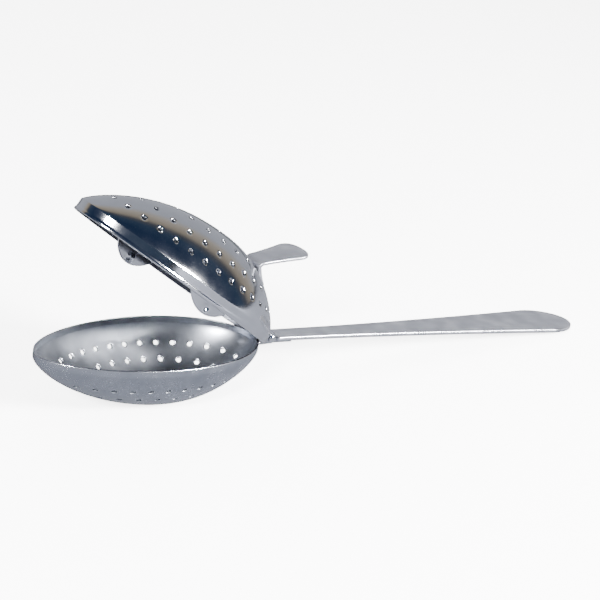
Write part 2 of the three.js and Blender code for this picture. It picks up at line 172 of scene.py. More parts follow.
# Quads between neighbours of a grid of rows by columns. closed joins the last column to the first.
def gridFaces(rows, columns, closed):
    across = columns if closed else columns - 1
    i, j = np.meshgrid(np.arange(rows - 1), np.arange(across), indexing="ij")
    k = (j + 1) % columns
    here, below = i * columns, (i + 1) * columns
    return np.stack([here + j, below + j, below + k, here + k], -1).reshape(-1, 4)


def unit(vectors):
    return vectors / np.maximum(np.linalg.norm(vectors, axis=-1, keepdims=True), tiny)


# Unit normals of a grid of points: the cross product of its differences along rows and columns.
def gridNormals(points, closed):
    down = np.gradient(points, axis=0)
    if closed:
        across = np.roll(points, -1, axis=1) - np.roll(points, 1, axis=1)
    else:
        across = np.gradient(points, axis=1)
    return unit(np.cross(down, across))


# A sheet from its outer face: the same face one thickness in, and a rounded rim round every border.
# The rim's middle stands out from the border by rimRound, in the sheet's own plane.
def thicken(points, normals, quads, thickness, rimRound):
    used, flat = np.unique(quads, return_inverse=True)
    quads = flat.reshape(-1, 4)
    points, normals = points[used], normals[used]
    count = len(points)
    starts = quads.reshape(-1)
    ends = np.roll(quads, -1, axis=1).reshape(-1)
    keys = np.minimum(starts, ends) * count + np.maximum(starts, ends)
    _, first, times = np.unique(keys, return_index=True, return_counts=True)
    border = first[times == 1]
    a, b = starts[border], ends[border]
    away = np.zeros_like(points)
    outward = np.cross(points[b] - points[a], normals[a])
    np.add.at(away, a, outward)
    np.add.at(away, b, outward)
    inner = points - normals * thickness
    middle = (points + inner) / 2 + unit(away) * rimRound
    rim = np.unique(np.concatenate([a, b]))
    place = np.zeros(count, int)
    place[rim] = 2 * count + np.arange(len(rim))
    rims = np.concatenate([
        np.stack([b, a, place[a], place[b]], -1),
        np.stack([place[b], place[a], a + count, b + count], -1),
    ])
    faces = np.concatenate([quads, quads[:, ::-1] + count, rims])
    return np.concatenate([points, inner, middle[rim]]), faces, used, rim


def signedPower(value, exponent):
    return np.sign(value) * np.abs(value) ** exponent


# Outline at angle t, 0 at the neck and pi at the tip: a superellipse, fuller towards the neck.
def outline(shell, t):
    run = signedPower(np.cos(t), np.where(np.cos(t) > 0, 1.0, 2 / egg["tipPower"]))
    rise = signedPower(np.sin(t), 2 / egg["sidePower"])
    x = (shell["neck"] + shell["tip"]) / 2 + (shell["neck"] - shell["tip"]) / 2 * run
    return x, shell["width"] / 2 * rise * (1 + egg["taper"] * run)


# Dome at a share of the way from crown to skirt: height = skirt + rest * (1 - share^p)^(1/q).
def domePoint(shell, share, t):
    rimX, rimY = outline(shell, t)
    inner, outer = shell["dome"]
    bulge = np.maximum(0, 1 - share ** inner) ** (1 / outer)
    height = shell["skirt"] + (shell["height"] - shell["skirt"]) * bulge
    x = shell["apex"] * (1 - share) + share * rimX
    return np.stack([x, share * rimY, shell["edge"] + shell["up"] * height], axis=-1)


# Holes stand in rings at equal steps along each ring, the first holePhase of a step from the tip, and
# one at the crown.
def holePlaces(shell):
    places = [domePoint(shell, np.array(holes["crown"]), np.array(0.0))]
    for share, pitch in holes["rings"]:
        t = np.linspace(math.pi, 3 * math.pi, holes["ringPoints"])
        ring = domePoint(shell, np.full_like(t, share), t)
        lengths = np.concatenate([[0], np.cumsum(np.linalg.norm(np.diff(ring, axis=0), axis=1))])
        count = round(lengths[-1] / (pitch * shell["holeCloser"]))
        steps = np.arange(count) + shell["holePhase"]
        stations = np.interp(steps * lengths[-1] / count, lengths, t)
        places.extend(domePoint(shell, np.full_like(stations, share), stations))
    return np.array(places)


# Rows of the shell's outer face: even steps of the angle whose sine is the share, then the skirt.
def shellFace(shell):
    t = np.linspace(0, 2 * math.pi, shellGrid["around"], endpoint=False)
    share = np.sin(np.linspace(shellGrid["crownAngle"], math.pi / 2, shellGrid["rows"]))
    dome = domePoint(shell, *np.meshgrid(share, t, indexing="ij"))
    drop = np.linspace(0, 1, shellGrid["skirtRows"] + 1)[1:, None]
    skirt = np.repeat(dome[-1:], shellGrid["skirtRows"], axis=0)
    skirt[..., 2] += (shell["edge"] - skirt[..., 2]) * drop
    return np.concatenate([dome, skirt])


# Cuts round holes in a face. Points inside a hole that touch its border move out onto its circle,
# points just outside give way, and the border is drawn a little into the sheet as a punch does.
def punch(points, normals, quads, places):
    away = points[:, None, :] - places[None]
    distances = np.linalg.norm(away, axis=2)
    near = distances.argmin(axis=1)
    d = distances[np.arange(len(points)), near]
    radius, ease, spread = holes["radius"], holes["ease"], holes["spread"]
    kept = quads[(d[quads] > radius).any(axis=1)]
    eased = radius + spread + (d - radius) * (ease - spread) / ease
    target = np.where(d <= radius, radius, np.where(d < radius + ease, eased, d))
    centre = places[near]
    moved = centre + (points - centre) * (target / np.maximum(d, tiny))[:, None]
    dish = holes["dish"] * np.exp(-(((target - radius) / holes["dishWidth"]) ** 2))
    wear = np.exp(-(target - radius) / holes["wearWidth"])
    return moved - normals * dish[:, None], kept, wear


def makeShell(shell, face, kept, places, material, onLid):
    rows, columns = face.shape[:2]
    normals = (gridNormals(face, True) * shell["up"]).reshape(-1, 3)
    face = face.reshape(-1, 3)
    quads = gridFaces(rows, columns, True)
    if shell["up"] < 0:
        quads = quads[:, ::-1]
    quads = quads[kept(face[quads].mean(axis=1))]
    points, quads, wear = punch(face, normals, quads, places)
    wear = np.maximum(wear, np.exp(-np.abs(points[:, 2] - shell["edge"]) / shellWear["rimFade"]))
    solid, faces, used, rim = thicken(points, normals, quads, fit["sheet"], shellGrid["rimRound"])
    wear = wear[used]
    fromEdge = np.abs(points[used][rim][:, 2] - shell["edge"])
    holeWall = (fromEdge > shellWear["rimZone"]).astype(float)
    wear = np.concatenate([wear, wear * shellWear["inside"], wear[rim] * (1 - holeWall)])
    # Painted shade: full on the hole walls, the shell's share over its inner face, none on its outer
    # face.
    paintedShade = np.concatenate([np.zeros(len(used)), np.full(len(used), shell["paintedShade"]), holeWall])
    return addPiece(shell["piece"], solid, faces.tolist(), material, [shell["node"]], onLid,
                    wear, paintedShade)


lugInside = fit["bracketWidth"] / 2 + fit["sideGap"]
lugOutside = lugInside + fit["lugThickness"]


# The bowl is pressed flat underneath, where it would dip below the table.
def makeBowl(material):
    face = shellFace(bowl)
    table = -bowl["depth"] + (face[..., 0] - flatX) * math.tan(restTilt)
    face[..., 2] = np.maximum(face[..., 2], table)

    def kept(middles):
        return np.ones(len(middles), bool)

    return makeShell(bowl, face, kept, holePlaces(bowl), material, False)


lidBand = {"middle": 0.6, "tail": 2.1, "step": 0.13, "soft": 0.22, "steepness": 4}


# The lid's edge band is proud of the dome by a soft step, and grows from mid length to the tail.
# No holes stand under the thumb tab's foot, and a notch at the tail clears the hinge bracket.
def makeLid(material):
    face = shellFace(lid)
    half = (lid["neck"] - lid["tip"]) / 2
    run = np.clip((face[..., 0] - lid["tip"] - half) / half, 0, 1)
    top = lidBand["middle"] + (lidBand["tail"] - lidBand["middle"]) * run
    above = face[..., 2] - lid["edge"] - top
    proud = lidBand["step"] / (1 + np.exp(above / lidBand["soft"] * lidBand["steepness"]))
    sideways = gridNormals(face, True)
    sideways[..., 2] = 0
    face = face + sideways * proud[..., None]
    places = holePlaces(lid)
    ends = domePoint(lid, np.array([tab["footStart"], tab["footEnd"]]), np.zeros(2))[:, 0]
    diameter = 2 * holes["radius"]
    underTab = (places[:, 0] > ends[0] - tab["holeGap"]) & (places[:, 0] < ends[1] + diameter)
    underTab &= np.abs(places[:, 1]) < tab["footWidth"] / 2 + diameter
    notchTop = fit["pinZ"] + fit["lugRadius"] - fit["sheet"]

    def kept(middles):
        inNotch = (np.abs(middles[:, 1]) < lugInside) & (middles[:, 2] < notchTop)
        return ~(inNotch & (middles[:, 0] > 0))

    return makeShell(lid, face, kept, places[~underTab], material, True)


flatLoop = 0.1
plateWearFade = 0.35


# Steps of a rounded corner: how far in from the outline and how high, bottom to top, with one extra
# loop on each flat that keeps its shading flat.
def cornerSteps(thickness, corner):
    angle = np.radians([-90, -60, -30, 0])
    half = thickness / 2
    low = np.stack([corner * (1 - np.cos(angle)), -half + corner + corner * np.sin(angle)], -1)
    high = np.stack([low[::-1, 0], -low[::-1, 1]], -1)
    extra = corner + flatLoop
    return np.concatenate([[[extra, -half]], low, high, [[extra, half]]])


# Inward normals of a closed outline that runs anticlockwise.
def inwardOf(loop):
    along = np.roll(loop, -1, axis=0) - np.roll(loop, 1, axis=0)
    return unit(np.stack([-along[:, 1], along[:, 0]], -1))


# A plate of any closed outline: loops of the outline stacked through the rounded corners. place()
# puts (along, across, height) into the rim frame. Its two flats are quads across from side to side,
# and a triangle where both sides share the last point.
def plate(halfOutline, thickness, corner, place):
    upper = np.asarray(halfOutline, float)
    shared = abs(upper[-1, 1]) < tiny
    back = upper[::-1][1:] if shared else upper[::-1]
    loop = np.concatenate([upper * [1, -1], back])
    inward = inwardOf(loop)
    steps = cornerSteps(thickness, corner)
    rings = [np.concatenate([loop + inward * inset, np.full((len(loop), 1), height)], 1)
             for inset, height in steps]
    points = np.concatenate(rings)
    count = len(loop)
    faces = gridFaces(len(rings), count, True)[:, ::-1]
    i = np.arange(len(upper) - 1)
    j = count - 1 - i
    bottom = np.stack([i, j, j - 1, i + 1], -1)
    top = np.stack([i, i + 1, j - 1, j], -1) + (len(rings) - 1) * count
    flats = np.concatenate([bottom, top]).tolist()
    if shared:
        flats = [list(dict.fromkeys(face)) for face in flats]
    edge = np.exp(-np.abs(steps[:, 0]) / plateWearFade)
    wear = np.repeat(np.where(np.arange(len(steps)) % (len(steps) - 1) == 0, 0, edge), count)
    return place(points), faces.tolist() + flats, wear


pastCorner = 1.5
cornerPoints = 6
endPoints = 40


# Half an outline in (along, across): a square start with rounded corners, then halfWidth(along).
def strapOutline(along, halfWidth, corner):
    arc = np.radians(np.linspace(0, 90, cornerPoints))
    start = halfWidth(np.array([corner]))[0]
    lead = np.stack([corner * (1 - np.cos(arc)), start - corner + corner * np.sin(arc)], -1)
    body = along[along > corner * pastCorner]
    rest = np.stack([body, halfWidth(body)], -1)
    return np.concatenate([lead, rest])


# Half width of a strip that widens by a power and then ends in a blunt round.
def paddle(neck, end, length, roundLength, taper, blunt):
    def halfWidth(s):
        straight = length - roundLength
        widening = (neck + (end - neck) * (np.clip(s / straight, 0, 1)) ** taper) / 2
        turn = np.clip((s - straight) / roundLength, 0, 1)
        return np.where(s < straight, widening, end / 2 * (1 - turn ** blunt) ** (1 / blunt))
    return halfWidth


# Stations along a paddle: even steps, then steps that close up round its end.
def paddleStations(length, roundLength, step):
    straight = length - roundLength
    even = np.arange(0, straight, step)
    closing = straight + roundLength * np.sin(np.linspace(0, math.pi / 2, endPoints))
    return np.concatenate([even, closing])


# Puts (along, across, height) onto a path in the XZ plane, height along the path's normal.
def onPath(path):
    lengths = np.concatenate([[0], np.cumsum(np.linalg.norm(np.diff(path, axis=0), axis=1))])
    tangent = np.gradient(path, lengths, axis=0)
    tangent /= np.linalg.norm(tangent, axis=1, keepdims=True)

    def place(points):
        s = points[:, 0]
        x, z = (np.interp(s, lengths, path[:, k]) for k in (0, 1))
        tx, tz = (np.interp(s, lengths, tangent[:, k]) for k in (0, 1))
        size = np.hypot(tx, tz)
        past = np.clip(s - lengths[-1], 0, None) + np.clip(s, None, 0)
        x, z = x + past * tx, z + past * tz
        return np.stack([x - points[:, 2] * tz / size, points[:, 1], z + points[:, 2] * tx / size], -1)

    return place, lengths[-1]


def makeHandle(material):
    along = np.array([math.cos(fall), -math.sin(fall)])
    runs = np.linspace(0, handle["length"], handle["pathPoints"])
    place, length = onPath(np.array(handle["start"]) + runs[:, None] * along)
    width = paddle(handle["neckWidth"], handle["endWidth"], length, handle["round"], handle["taper"],
                   handle["blunt"])
    stations = paddleStations(length, handle["round"], handle["step"])
    half = strapOutline(stations, width, handle["squareCorner"])
    points, faces, wear = plate(half, handle["thickness"], handle["corner"], place)
    return addPiece("handleStrip", points, faces, material, ["handle"], False, wear)


# Points down a shell's back at its middle, from one share to another, at a distance off its face.
def backOf(shell, shares, offsets):
    step, skirtShare = 1e-3, 0.9999
    at = domePoint(shell, shares, np.zeros_like(shares))
    ahead = domePoint(shell, np.minimum(shares + step, skirtShare), np.zeros_like(shares))
    behind = domePoint(shell, np.minimum(shares + step, skirtShare) - 2 * step, np.zeros_like(shares))
    run = (ahead - behind)[:, [0, 2]]
    run /= np.linalg.norm(run, axis=1, keepdims=True)
    normal = np.stack([-run[:, 1], run[:, 0]], -1) * shell["up"]
    return at[:, [0, 2]] + normal * np.asarray(offsets)[:, None]


tab = {
    "thickness": 0.7, "length": 12.2, "angle": 40.7, "neckWidth": 6.2, "endWidth": 8.9,
    "footWidth": 5.2, "footStart": 0.46, "footEnd": 0.64, "bend": 0.9, "round": 3.2, "blunt": 2.6,
    "taper": 1.4, "corner": 0.2, "standOff": 0.65, "holeGap": 3.0, "liftStart": 0.3, "liftPower": 1.5,
    "flarePower": 4, "footPoints": 60, "foldPoints": 24, "bladePoints": 30, "step": 0.25,
    "squareCorner": 0.8,
}


# The foot lies down the lid's back, lifts off it just before the fold, and the blade is straight.
def makeTab(material):
    shares = np.linspace(tab["footEnd"], tab["footStart"], tab["footPoints"])
    gone = np.linspace(0, 1, tab["footPoints"])
    rising = np.clip((gone - tab["liftStart"]) / (1 - tab["liftStart"]), 0, 1)
    foot = backOf(lid, shares, tab["standOff"] * rising ** tab["liftPower"])
    run = foot[-1] - foot[-2]
    arrive, leave = math.atan2(run[1], run[0]), math.radians(tab["angle"])
    centre = foot[-1] + tab["bend"] * np.array([math.sin(arrive), -math.cos(arrive)])
    angle = np.linspace(arrive, leave, tab["foldPoints"])[1:] + math.pi / 2
    fold = centre + tab["bend"] * np.stack([np.cos(angle), np.sin(angle)], -1)
    straight = np.linspace(0, tab["length"], tab["bladePoints"])[1:, None]
    blade = fold[-1] + straight * np.array([math.cos(leave), math.sin(leave)])
    place, length = onPath(np.concatenate([foot, fold, blade]))
    footLength = length - tab["length"]
    bladeWidth = paddle(tab["neckWidth"], tab["endWidth"], tab["length"], tab["round"], tab["taper"],
                        tab["blunt"])

    def width(s):
        grown = (s / footLength) ** tab["flarePower"]
        flare = (tab["footWidth"] + (tab["neckWidth"] - tab["footWidth"]) * grown) / 2
        return np.where(s < footLength, flare, bladeWidth(np.maximum(s - footLength, 0)))

    stations = paddleStations(length, tab["round"], tab["step"])
    half = strapOutline(stations, width, tab["squareCorner"])
    points, faces, wear = plate(half, tab["thickness"], tab["corner"], place)
    return addPiece("thumbTab", points, faces, material, ["thumb_tab"], True, wear)


bracket = {
    "thickness": 0.8, "lap": 5.0, "foot": 3.0, "top": 0.985, "smooth": 9, "corner": 0.2, "seam": 0.02,
    "barrelSink": 0.15, "footPoints": 8, "pathPoints": 120, "step": 0.2, "round": 0.9, "roundPoints": 12,
    "blunt": 3, "squareCorner": 0.3, "edgeEase": 0.12,
    # how far past the foot's top, and below the strip under the barrel, its bend's two corners stand
    "bend": ((1.1, 0.05), (0.35, 0.35)),
    # wear round the barrel's section: little in the bore, full on its outer edges
    "barrelWear": (0.2, 0.8, 0.8, 1, 1, 0.8, 0.8, 0.2),
}

latheSteps = 48


# A surface of revolution about the hinge axis from a profile of (radius, across), closed on itself
# or, with poles, from axis to axis.
def lathe(profile, poles, steps):
    angle = np.linspace(0, 2 * math.pi, steps, endpoint=False)
    body = profile[1:-1] if poles else profile
    radius, across = body[:, 0][:, None], body[:, 1][:, None]
    points = np.stack([fit["pinX"] + radius * np.cos(angle), across + 0 * angle,
                       fit["pinZ"] + radius * np.sin(angle)], -1).reshape(-1, 3)
    if not poles:
        wrapped = gridFaces(len(body) + 1, steps, True) % len(points)
        return points, wrapped.tolist()
    faces = gridFaces(len(body), steps, True).tolist()
    ends = [[fit["pinX"], profile[0, 1], fit["pinZ"]], [fit["pinX"], profile[-1, 1], fit["pinZ"]]]
    first = len(points)
    last = (len(body) - 1) * steps
    i = np.arange(steps)
    j = (i + 1) % steps
    faces += np.stack([np.full(steps, first), i, j], -1).tolist()
    faces += np.stack([np.full(steps, first + 1), last + j, last + i], -1).tolist()
    return np.concatenate([points, ends]), faces


# A strip from under the handle, below the barrel and down the bowl's back, with the barrel on it.
def makeBracket(material):
    half = bracket["thickness"] / 2
    lapDrop = handle["thickness"] / 2 + bracket["seam"] + half
    startX, startZ = handle["start"]
    under = fit["pinZ"] - fit["barrelRadius"] - half + bracket["barrelSink"]
    footEnd = bracket["top"] - bracket["foot"] / bowl["depth"] / 2
    shares = np.linspace(bracket["top"], footEnd, bracket["footPoints"])
    foot = backOf(bowl, shares, np.full(bracket["footPoints"], bracket["seam"] + half))
    lapEnd = [startX + bracket["lap"], startZ - lapDrop - bracket["lap"] * math.tan(fall)]
    bend = [[foot[0, 0] + past, under - below] for past, below in bracket["bend"]]
    corners = np.concatenate([
        [lapEnd, [startX, startZ - lapDrop], [fit["pinX"], under]], bend, foot])
    lengths = np.concatenate([[0], np.cumsum(np.linalg.norm(np.diff(corners, axis=0), axis=1))])
    s = np.linspace(0, lengths[-1], bracket["pathPoints"])
    path = np.stack([np.interp(s, lengths, corners[:, k]) for k in (0, 1)], -1)
    window = bracket["smooth"]
    padded = np.pad(path, ((window // 2, window // 2), (0, 0)), mode="edge")
    path = np.stack([np.convolve(padded[:, k], np.ones(window) / window, "valid") for k in (0, 1)], -1)
    place, length = onPath(path)
    straight = length - bracket["round"]
    closing = np.sin(np.linspace(0, math.pi / 2, bracket["roundPoints"]))
    stations = np.concatenate([np.arange(0, straight, bracket["step"]),
                               straight + bracket["round"] * closing])
    width = paddle(fit["bracketWidth"], fit["bracketWidth"], length, bracket["round"], 1,
                   bracket["blunt"])
    half = strapOutline(stations, width, bracket["squareCorner"])
    points, faces, wear = plate(half, bracket["thickness"], bracket["corner"], place)
    edge = fit["bracketWidth"] / 2
    outer, bore, ease = fit["barrelRadius"], fit["boreRadius"], bracket["edgeEase"]
    profile = np.array([[bore, -edge + ease], [bore + ease, -edge], [outer - ease, -edge],
                        [outer, -edge + ease], [outer, edge - ease], [outer - ease, edge],
                        [bore + ease, edge], [bore, edge - ease]])
    barrel, barrelFaces = lathe(profile, False, latheSteps)
    faces = faces + (np.array(barrelFaces) + len(points)).tolist()
    wear = np.concatenate([wear, np.repeat(bracket["barrelWear"], latheSteps)])
    return addPiece("hingeBracket", np.concatenate([points, barrel]), faces, material,
                    ["hinge_bracket"], False, wear)


pin = {
    "radius": 0.55, "headRadius": 0.95, "headHeight": 0.6, "headFoot": 0.1, "flatness": 0.8,
    "turnIn": 0.06, "ease": 0.04, "domePoints": 9, "steps": 40, "wear": 0.6,
}


# The riveted pin: a shank and two peened heads, each a flattened dome with a turned-in foot.
def makePin(material):
    inner = lugOutside + fit["sideGap"] / 2
    angle = np.radians(np.linspace(0, 90, pin["domePoints"]))
    radius = pin["headRadius"] * np.sin(angle) ** pin["flatness"]
    crown = (pin["headHeight"] - pin["headFoot"]) * np.cos(angle) ** pin["flatness"]
    dome = np.stack([radius, inner + pin["headFoot"] + crown], -1)
    dome[0, 0] = 0
    foot = [[pin["headRadius"] - pin["turnIn"], inner], [pin["radius"] + pin["ease"], inner],
            [pin["radius"], inner - pin["ease"]]]
    half = np.concatenate([dome, foot])
    profile = np.concatenate([half * [1, -1], half[::-1]])
    points, faces = lathe(profile, True, pin["steps"])
    wear = np.full(len(points), pin["wear"])
    return addPiece("hingePin", points, faces, material, ["hinge_pin"], False, wear)


# A plate that stands along the spoon, from an outline in XZ and its two faces across.
def sidePlate(loop, low, high, corner):
    loop = np.asarray(loop, float)
    inward = inwardOf(loop)
    steps = cornerSteps(high - low, corner)
    middle = (high + low) / 2
    points = np.concatenate([
        np.stack([loop[:, 0] + inward[:, 0] * inset, np.full(len(loop), middle - across),
                  loop[:, 1] + inward[:, 1] * inset], -1) for inset, across in steps])
    count = len(loop)
    faces = gridFaces(len(steps), count, True)[:, ::-1].tolist()
    last = (len(steps) - 1) * count
    faces.append(list(range(count))[::-1])
    faces.append(list(range(last, last + count)))
    return points, faces


tail = {
    "root": 0.35, "rise": 1.2, "run": 5, "noseFrom": -112, "nosePoints": 40, "footX": 1.4,
    "footLift": 0.3, "webReach": 0.5, "webNose": (0.1, 0.25), "webInset": 0.02, "lugCorner": 0.12,
    "webCorner": 0.05, "wear": 0.25,
}


# The lid's tail: two lugs that straddle the barrel and the web between them.
def makeTail(material):
    web = fit["pinZ"] + fit["lugRadius"]
    root = lid["neck"] - tail["root"]
    slope = tail["rise"] / (fit["pinX"] - lid["neck"] + tail["run"])
    rootTop = web + slope * (fit["pinX"] - root)
    angle = np.radians(np.linspace(tail["noseFrom"], 90, tail["nosePoints"]))
    nose = np.stack([fit["pinX"] + fit["lugRadius"] * np.cos(angle),
                     fit["pinZ"] + fit["lugRadius"] * np.sin(angle)], -1)
    low = lid["edge"] + tail["footLift"]
    lug = np.concatenate([[[root, low], [tail["footX"], low]], nose, [[root, rootTop]]])
    webEnd = fit["pinX"] - fit["lugRadius"] + tail["webReach"]
    webTop = web + slope * (fit["pinX"] - webEnd)
    back, down = tail["webNose"]
    strip = np.array([[root, rootTop - fit["sheet"]], [webEnd - back, webTop - fit["sheet"]],
                      [webEnd, webTop - down], [webEnd - back, webTop], [root, rootTop]])
    webSide = lugOutside - tail["webInset"]
    parts = [sidePlate(lug, -lugOutside, -lugInside, tail["lugCorner"]),
             sidePlate(lug, lugInside, lugOutside, tail["lugCorner"]),
             sidePlate(strip, -webSide, webSide, tail["webCorner"])]
    points, faces, base = [], [], 0
    for some, theirs in parts:
        points.append(some)
        faces += [[index + base for index in face] for face in theirs]
        base += len(some)
    points = np.concatenate(points)
    return addPiece("lidTail", points, faces, material, ["lid"], True,
                    np.full(len(points), tail["wear"]))


clip = {
    "radius": 7.1, "thickness": 0.4, "rise": 1.4, "seat": 0.2, "offset": 0.6, "trim": 0.1,
    "dimpleRadius": 1.25, "dimpleDepth": 0.32, "dimpleRise": 1.5, "endAngle": 0.02, "columns": 90,
    "rows": 34, "rimRound": 0.1, "ringAt": 0.8, "ringFade": 0.25, "ringWear": 0.6,
}


# A segment of a disc bent to the skirt's inner wall. Columns run round its arc and rows rise from
# the arc to its flat top. The dimple is pressed towards the bowl as depth * cos^2.
def makeClip(name, node, side, material):
    wall = dict(lid, tip=lid["tip"] + fit["sheet"], neck=lid["neck"] - fit["sheet"],
                width=lid["width"] - 2 * fit["sheet"])
    middle = (wall["neck"] + wall["tip"]) / 2
    centreX = middle - clip["offset"]
    top = lid["edge"] + lid["skirt"] - clip["trim"]
    reach = math.acos((clip["rise"] - top) / clip["radius"]) - clip["endAngle"]
    angles = np.linspace(-reach, reach, clip["columns"])
    angle, share = np.meshgrid(angles, np.linspace(0, 1, clip["rows"]), indexing="ij")
    x = centreX + clip["radius"] * np.sin(angle)
    low = clip["rise"] - clip["radius"] * np.cos(angle)
    z = low + (top - low) * share
    run = (x - middle) / ((wall["neck"] - wall["tip"]) / 2)
    t = np.arccos(signedPower(run, np.where(run > 0, 1.0, egg["tipPower"] / 2)))
    y = outline(wall, t)[1] - clip["seat"]
    dimpleZ = clip["rise"] - clip["radius"] + clip["dimpleRise"]
    away = np.hypot(x - centreX, z - dimpleZ) / clip["dimpleRadius"]
    pressed = clip["dimpleDepth"] * np.cos(np.minimum(away, 1) * math.pi / 2) ** 2
    y = y - np.where(away < 1, pressed, 0)
    face = np.stack([x, side * y, z], -1)
    normals = gridNormals(face, False)
    quads = gridFaces(*face.shape[:2], False)
    if normals[clip["columns"] // 2, clip["rows"] // 2, 1] * side < 0:
        normals = -normals
        quads = quads[:, ::-1]
    solid, faces, used, rim = thicken(face.reshape(-1, 3), normals.reshape(-1, 3), quads,
                                      clip["thickness"], clip["rimRound"])
    fromRing = (away.reshape(-1) - clip["ringAt"]) / clip["ringFade"]
    ring = np.exp(-fromRing ** 2) * clip["ringWear"]
    wear = np.concatenate([ring[used], ring[used], np.ones(len(rim))])
    return addPiece(name, solid, faces.tolist(), material, [node], True, wear)


def newGroup(name, outputs, inputs):
    group = bpy.data.node_groups.new(name, "ShaderNodeTree")
    for label, value in inputs.items():
        socket = group.interface.new_socket(label, in_out="INPUT", socket_type="NodeSocketFloat")
        socket.default_value = value
    for label in outputs:
        group.interface.new_socket(label, in_out="OUTPUT", socket_type="NodeSocketFloat")
    return group, group.nodes.new("NodeGroupInput"), group.nodes.new("NodeGroupOutput")


def noise(tree, vector, scale, detail):
    node = tree.nodes.new("ShaderNodeTexNoise")
    node.inputs["Scale"].default_value = scale
    node.inputs["Detail"].default_value = detail
    tree.links.new(vector, node.inputs["Vector"])
    return node.outputs["Fac"]


def ranged(tree, value, low, high, outLow=0.0, outHigh=1.0):
    node = tree.nodes.new("ShaderNodeMapRange")
    for label, number in (("From Min", low), ("From Max", high), ("To Min", outLow), ("To Max", outHigh)):
        node.inputs[label].default_value = number
    tree.links.new(value, node.inputs["Value"])
    return node.outputs["Result"]


def combine(tree, operation, a, b):
    node = tree.nodes.new("ShaderNodeMath")
    node.operation = operation
    for socket, value in zip(node.inputs, (a, b)):
        if isinstance(value, (int, float)):
            socket.default_value = value
        else:
            tree.links.new(value, socket)
    return node.outputs[0]


# Scales are noise cells to the metre, hairlines are drawn out along the spoon by a small x scale.
grainLook = {
    "fine": 5200, "fineDetail": 3, "patches": 230, "patchDetail": 5, "lineDetail": 2,
    "stretch": (0.06, 1, 1), "turn": (0.3, 0.12, 0.2), "lineRange": (0.62, 0.72),
    "patchRange": (0.3, 0.7), "lineDepth": -0.12,
}
wearLook = {"speckle": 900, "speckleDetail": 4, "range": (0.25, 0.6), "amount": 0.45}


# Tumbled steel: a fine grain, cloudy patches a few millimetres across, and hairlines along the spoon.
def makeGrainGroup():
    group, _, out = newGroup("tumbledGrain", ["Height", "Cloud", "Hairlines"], {})
    place = group.nodes.new("ShaderNodeTexCoord").outputs["Object"]
    stretch = group.nodes.new("ShaderNodeMapping")
    stretch.inputs["Scale"].default_value = grainLook["stretch"]
    stretch.inputs["Rotation"].default_value = grainLook["turn"]
    group.links.new(place, stretch.inputs["Vector"])
    grain = noise(group, place, grainLook["fine"], grainLook["fineDetail"])
    cloud = noise(group, place, grainLook["patches"], grainLook["patchDetail"])
    lines = noise(group, stretch.outputs["Vector"], grainLook["fine"], grainLook["lineDetail"])
    scratch = ranged(group, lines, *grainLook["lineRange"])
    cut = combine(group, "MULTIPLY", scratch, grainLook["lineDepth"])
    height = combine(group, "ADD", grain, cut)
    group.links.new(height, out.inputs["Height"])
    group.links.new(ranged(group, cloud, *grainLook["patchRange"]), out.inputs["Cloud"])
    group.links.new(scratch, out.inputs["Hairlines"])
    return group


# Edge wear: the piece's own wear attribute, broken up by a small noise. The painted shade attribute is
# passed on as it is.
def makeWearAndShadeGroup():
    group, into, out = newGroup("edgeWearAndPaintedShade", ["Mask", "PaintedShadeMask"], {"Amount": wearLook["amount"]})
    paintedShadeAttribute = group.nodes.new("ShaderNodeAttribute")
    paintedShadeAttribute.attribute_name = "paintedShade"
    group.links.new(paintedShadeAttribute.outputs["Fac"], out.inputs["PaintedShadeMask"])
    mark = group.nodes.new("ShaderNodeAttribute")
    mark.attribute_name = "wear"
    place = group.nodes.new("ShaderNodeTexCoord").outputs["Object"]
    speckle = noise(group, place, wearLook["speckle"], wearLook["speckleDetail"])
    breakUp = ranged(group, speckle, *wearLook["range"])
    worn = combine(group, "MULTIPLY", mark.outputs["Fac"], breakUp)
    mask = combine(group, "MULTIPLY", worn, into.outputs["Amount"])
    group.links.new(mask, out.inputs["Mask"])
    return group


grainGroup = makeGrainGroup()
wearAndShadeGroup = makeWearAndShadeGroup()

# Each finish's third colour is the near-black painted shade for the hole walls and inner faces.
satinSteel = {
    "name": "satinSteel", "dark": (0.34, 0.36, 0.41), "light": (0.42, 0.44, 0.49),
    "paintedShadeColour": (0.06, 0.07, 0.085), "worn": (0.66, 0.67, 0.7), "smooth": 0.22, "rough": 0.28,
    "wornRough": 0.2, "bump": 0.06,
}
brightSteel = {
    "name": "brightSteel", "dark": (0.6, 0.61, 0.65), "light": (0.66, 0.67, 0.71),
    "paintedShadeColour": (0.03, 0.035, 0.05), "worn": (0.72, 0.73, 0.76), "smooth": 0.07, "rough": 0.11,
    "wornRough": 0.06, "bump": 0.03,
}
handleSteel = dict(satinSteel, name="handleSteel", dark=(0.52, 0.53, 0.58), light=(0.62, 0.63, 0.68),
                   worn=(0.72, 0.73, 0.76), smooth=0.3, rough=0.42)
hairlineRough = 0.03
# Extra roughness where the painted shade lies, so the hole walls don't glint.
paintedShadeRough = 0.35
bumpDistance = 0.00003


def mixColour(tree, factor, a, b):
    node = tree.nodes.new("ShaderNodeMix")
    node.data_type = "RGBA"
    tree.links.new(factor, node.inputs["Factor"])
    for socket, colour in ((node.inputs[6], a), (node.inputs[7], b)):
        if isinstance(colour, tuple):
            socket.default_value = (*colour, 1)
        else:
            tree.links.new(colour, socket)
    return node.outputs[2]


